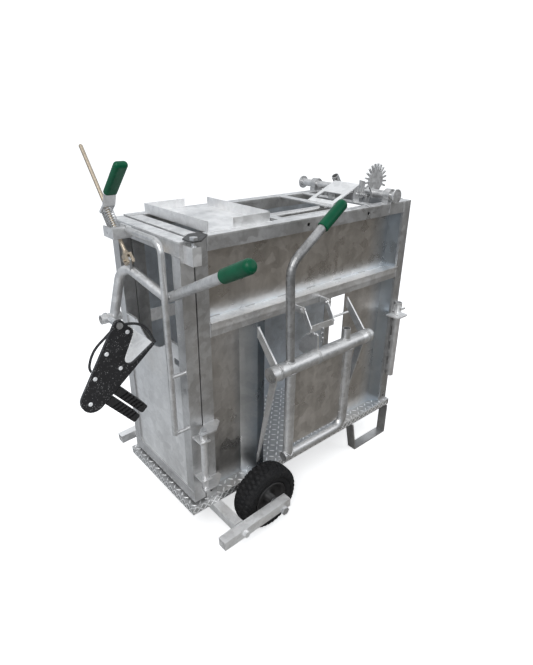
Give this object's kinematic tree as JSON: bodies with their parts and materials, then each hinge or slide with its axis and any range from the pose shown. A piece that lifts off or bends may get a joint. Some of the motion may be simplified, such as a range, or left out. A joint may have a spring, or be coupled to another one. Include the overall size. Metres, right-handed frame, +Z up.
{
  "type": "dehorning crate",
  "caption": "Wheeled galvanised calf crate with a head gate, chin lift scoop, locking lift lever, flank squeeze, rump bar, tool tray and rear pin sockets.",
  "frame": {"origin": "on the ground under the middle of the whole crate", "axes": "+X towards the tail end, +Y away from the operator's side, +Z up"},
  "size_m": [1.5642, 1.0911, 1.5286],
  "materials": {
    "galvanised": "hot-dip galvanised, mottled",
    "sheet": "galvanised sheet, bright",
    "zinc": "zinc plated",
    "yellow_zinc": "yellow passivated",
    "grip_green": "dip moulded",
    "cheek_black": "speckled",
    "cleat_black": "ribbed",
    "rope_black": "braided",
    "bolt_white": "capped",
    "tyre_rubber": "matt"
  },
  "bodies": {
    "crate": {"floor_pan": "galvanised", "near_frame": "galvanised", "far_frame": "galvanised", "top_bars": "galvanised", "near_upper_sheet": "sheet", "near_front_sheet": "sheet", "near_rear_sheet": "sheet", "far_upper_sheet": "sheet", "far_lower_sheet": "sheet", "tool_tray": "galvanised", "slide_bars": "galvanised", "gussets": "galvanised", "squeeze_shaft": "galvanised", "cross_tube": "galvanised", "wheel_arms": "galvanised", "axle_bolts": "zinc", "rear_skids": "galvanised", "gate_brackets": "galvanised", "gate_pins": "zinc", "race_sockets": "galvanised", "pawl_lugs": "galvanised", "rump_clamps": "galvanised", "rump_cover": "galvanised"},
    "front_gate": {"gate_frame": "galvanised", "neck_panel": "sheet", "guard_loop": "galvanised", "gate_lugs": "galvanised", "lock_bracket": "galvanised", "lift_pivot_bolt": "zinc"},
    "lift_lever": {"lift_lever": "galvanised", "foot_stub": "galvanised", "clevis_lug": "galvanised", "lift_grip": "grip_green"},
    "lock_rod": {"lock_rod": "zinc", "rod_clevis": "yellow_zinc"},
    "lock_guide": {"lock_guide": "galvanised", "lock_spring": "zinc"},
    "release_lever": {"release_lever": "galvanised", "release_grip": "grip_green"},
    "head_scoop": {"scoop_tray": "galvanised", "near_cheek": "cheek_black", "cheek_bolts": "bolt_white", "scoop_pin": "zinc", "nose_rope": "rope_black", "jam_cleats": "cleat_black"},
    "squeeze": {"squeeze_tube": "galvanised", "squeeze_lever": "galvanised", "squeeze_grip": "grip_green", "pusher_loop": "galvanised", "pusher_sheet": "sheet", "squeeze_ratchet": "galvanised"},
    "squeeze_pawl": {"squeeze_pawl": "galvanised", "pawl_chain": "zinc"},
    "rump_bar": {"rump_shaft": "galvanised", "rump_fan": "galvanised", "rump_hoop": "galvanised"},
    "rump_pawl": {"rump_pawl": "galvanised"},
    "near_wheel": {"near_wheel": "tyre_rubber"},
    "far_wheel": {"far_wheel": "tyre_rubber"}
  },
  "joints": [
    {"name": "gate_hinge", "type": "hinge", "parent": "crate", "child": "front_gate", "pos_m": [-0.4379, -0.1955, 1.275], "axis": [0, 0, 1], "range_deg": [0, 72]},
    {"name": "lift_pivot", "type": "hinge", "parent": "front_gate", "child": "lift_lever", "pos_m": [-0.4874, -0.1325, 1.09], "axis": [1, 0, 0], "range_deg": [-17, 0]},
    {"name": "rod_pin", "type": "hinge", "parent": "lift_lever", "child": "lock_rod", "pos_m": [-0.53541, 0.063, 1.176], "axis": [1, 0, 0], "range_deg": [-1, 41]},
    {"name": "guide_tilt", "type": "hinge", "parent": "front_gate", "child": "lock_guide", "pos_m": [-0.53541, 0.13297, 1.26088], "axis": [1, 0, 0], "range_deg": [-1, 23]},
    {"name": "release_tilt", "type": "hinge", "parent": "lock_guide", "child": "release_lever", "pos_m": [-0.53541, 0.20655, 1.31556], "axis": [1, 0, 0], "range_deg": [0, 5], "stiffness_Nm_per_rad": 12, "springref_deg": -20.05, "deforming": ["lock_spring"]},
    {"name": "scoop_pivot", "type": "hinge", "parent": "lift_lever", "child": "head_scoop", "pos_m": [-0.6124, 0.087, 0.967], "axis": [0, 1, 0], "range_deg": [-2, 10]},
    {"name": "squeeze_hinge", "type": "hinge", "parent": "crate", "child": "squeeze", "pos_m": [-0.0999, -0.2715, 0.745], "axis": [1, 0, 0], "range_deg": [0, 28]},
    {"name": "squeeze_pawl_hinge", "type": "hinge", "parent": "crate", "child": "squeeze_pawl", "pos_m": [0.04709, -0.1995, 0.927], "axis": [1, 0, 0], "range_deg": [-40, 0]},
    {"name": "rump_hinge", "type": "hinge", "parent": "crate", "child": "rump_bar", "pos_m": [0.62409, 0.087, 1.307], "axis": [0, 1, 0], "range_deg": [0, 40]},
    {"name": "rump_pawl_hinge", "type": "hinge", "parent": "crate", "child": "rump_pawl", "pos_m": [0.53109, -0.0495, 1.309], "axis": [0, 1, 0], "range_deg": [-30, 0]},
    {"name": "near_wheel_spin", "type": "hinge", "parent": "crate", "child": "near_wheel", "pos_m": [-0.16991, -0.2375, 0.144], "axis": [0, 1, 0], "continuous": true},
    {"name": "far_wheel_spin", "type": "hinge", "parent": "crate", "child": "far_wheel", "pos_m": [-0.16991, 0.4115, 0.144], "axis": [0, 1, 0], "continuous": true}
  ],
  "couplings": [
    {"joint": "rod_pin", "follows": "lift_pivot", "ratio": -2.2},
    {"joint": "guide_tilt", "follows": "lift_pivot", "ratio": -1.2}
  ]
}
